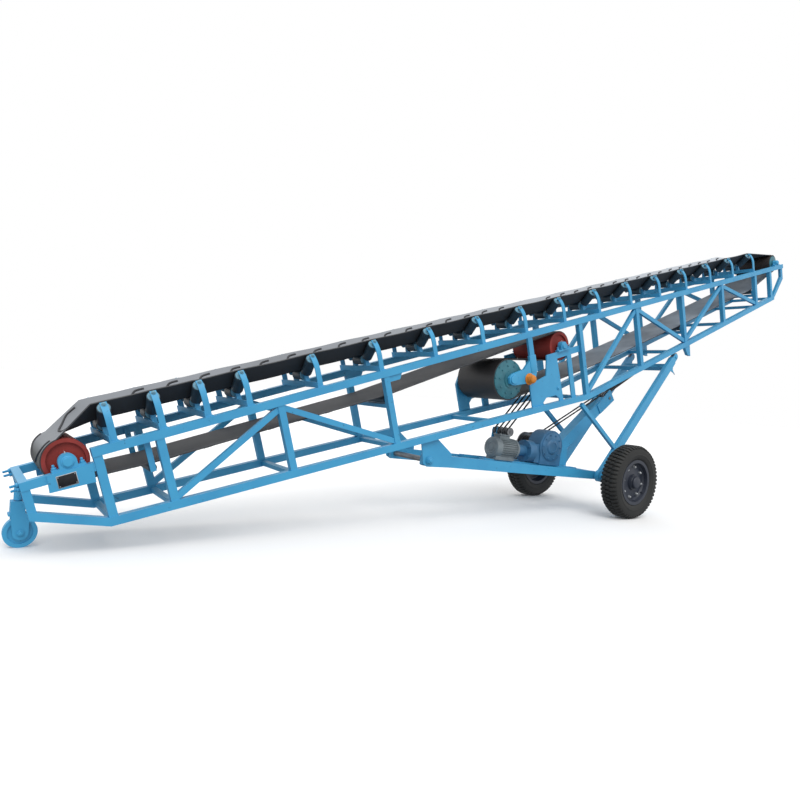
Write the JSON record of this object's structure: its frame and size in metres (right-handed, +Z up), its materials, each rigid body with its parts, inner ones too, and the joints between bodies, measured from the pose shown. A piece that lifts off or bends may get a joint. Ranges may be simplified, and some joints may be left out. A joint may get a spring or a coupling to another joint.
{
  "type": "mobile belt conveyor",
  "caption": "Mobile belt conveyor: troughed cleated belt on an inclined blue steel truss, carried by a wheeled undercarriage with lifting legs and a winch, and a tail caster.",
  "frame": {"origin": "centre of the bounding box on the ground plane", "axes": "+X from the feed (tail) end to the discharge (head) end, +Z up, -Y towards the side with the drive terminal"},
  "size_m": [9.8564, 1.588, 3.659],
  "materials": {
    "frame_blue": "satin",
    "belt_rubber": "matt",
    "pulley_red": "satin",
    "pulley_green": "satin",
    "drum_dark": "matt",
    "terminal_orange": "satin",
    "roller_black": "satin",
    "bare_steel": "satin",
    "motor_grey": "satin",
    "gearbox_blue": "satin",
    "tyre_rubber": "matt",
    "rim_black": "satin"
  },
  "bodies": {
    "truss": {"top_chords": "frame_blue", "lower_chords_rear": "frame_blue", "lower_chords_front": "frame_blue", "tail_rails": "frame_blue", "truss_posts": "frame_blue", "truss_diagonals": "frame_blue", "cross_members": "frame_blue", "idle_pulleys": "pulley_red", "head_pulley": "pulley_green", "pillow_blocks": "frame_blue", "drive_drum": "drum_dark", "drum_covers": "pulley_green", "drum_brackets": "frame_blue", "drum_terminal": "terminal_orange", "drive_plates": "frame_blue", "idler_beams": "frame_blue", "idler_brackets": "frame_blue", "belt_rollers": "roller_black", "belt_return_runs": "belt_rubber", "belt_wraps": "belt_rubber", "belt_bed": "belt_rubber", "belt_wings": "belt_rubber", "belt_transitions": "belt_rubber", "truss_plates": "frame_blue", "pivot_shaft": "bare_steel", "caster_socket": "frame_blue"},
    "arm_frame": {"arms": "frame_blue", "axle": "frame_blue", "arm_cross_bars": "frame_blue", "winch_base": "frame_blue", "winch_motor": "motor_grey", "winch_gearbox": "gearbox_blue", "rope_drum": "bare_steel", "sheave_beam": "frame_blue", "head_sheaves": "bare_steel"},
    "leg_frame": {"legs": "frame_blue", "leg_rollers": "bare_steel", "leg_cross_beams": "frame_blue", "leg_braces": "frame_blue"},
    "near_wheel": {"near_tyre": "tyre_rubber", "near_rim": "rim_black"},
    "far_wheel": {"far_tyre": "tyre_rubber", "far_rim": "rim_black"},
    "caster": {"caster_fork": "frame_blue"},
    "caster_roll": {"caster_wheel": "frame_blue"}
  },
  "joints": [
    {"name": "lift", "type": "hinge", "parent": "truss", "child": "arm_frame", "pos_m": [-1.69324, 0, 0.59], "axis": [0, 1, 0], "range_deg": [0, 15]},
    {"name": "leg_swing", "type": "hinge", "parent": "arm_frame", "child": "leg_frame", "pos_m": [0.82476, 0, 0.4], "axis": [0, -1, 0], "range_deg": [0, 34.05]},
    {"name": "near_wheel_spin", "type": "hinge", "parent": "arm_frame", "child": "near_wheel", "pos_m": [0.82476, -0.692, 0.4], "axis": [0, 1, 0], "continuous": true},
    {"name": "far_wheel_spin", "type": "hinge", "parent": "arm_frame", "child": "far_wheel", "pos_m": [0.82476, 0.692, 0.4], "axis": [0, 1, 0], "continuous": true},
    {"name": "caster_swivel", "type": "hinge", "parent": "truss", "child": "caster", "pos_m": [-4.85024, 0, 0.3], "axis": [0, 0, 1], "continuous": true},
    {"name": "caster_spin", "type": "hinge", "parent": "caster", "child": "caster_roll", "pos_m": [-4.82824, 0, 0.1], "axis": [0, 1, 0], "continuous": true}
  ],
  "couplings": [
    {"joint": "leg_swing", "follows": "lift", "ratio": 2.27}
  ]
}
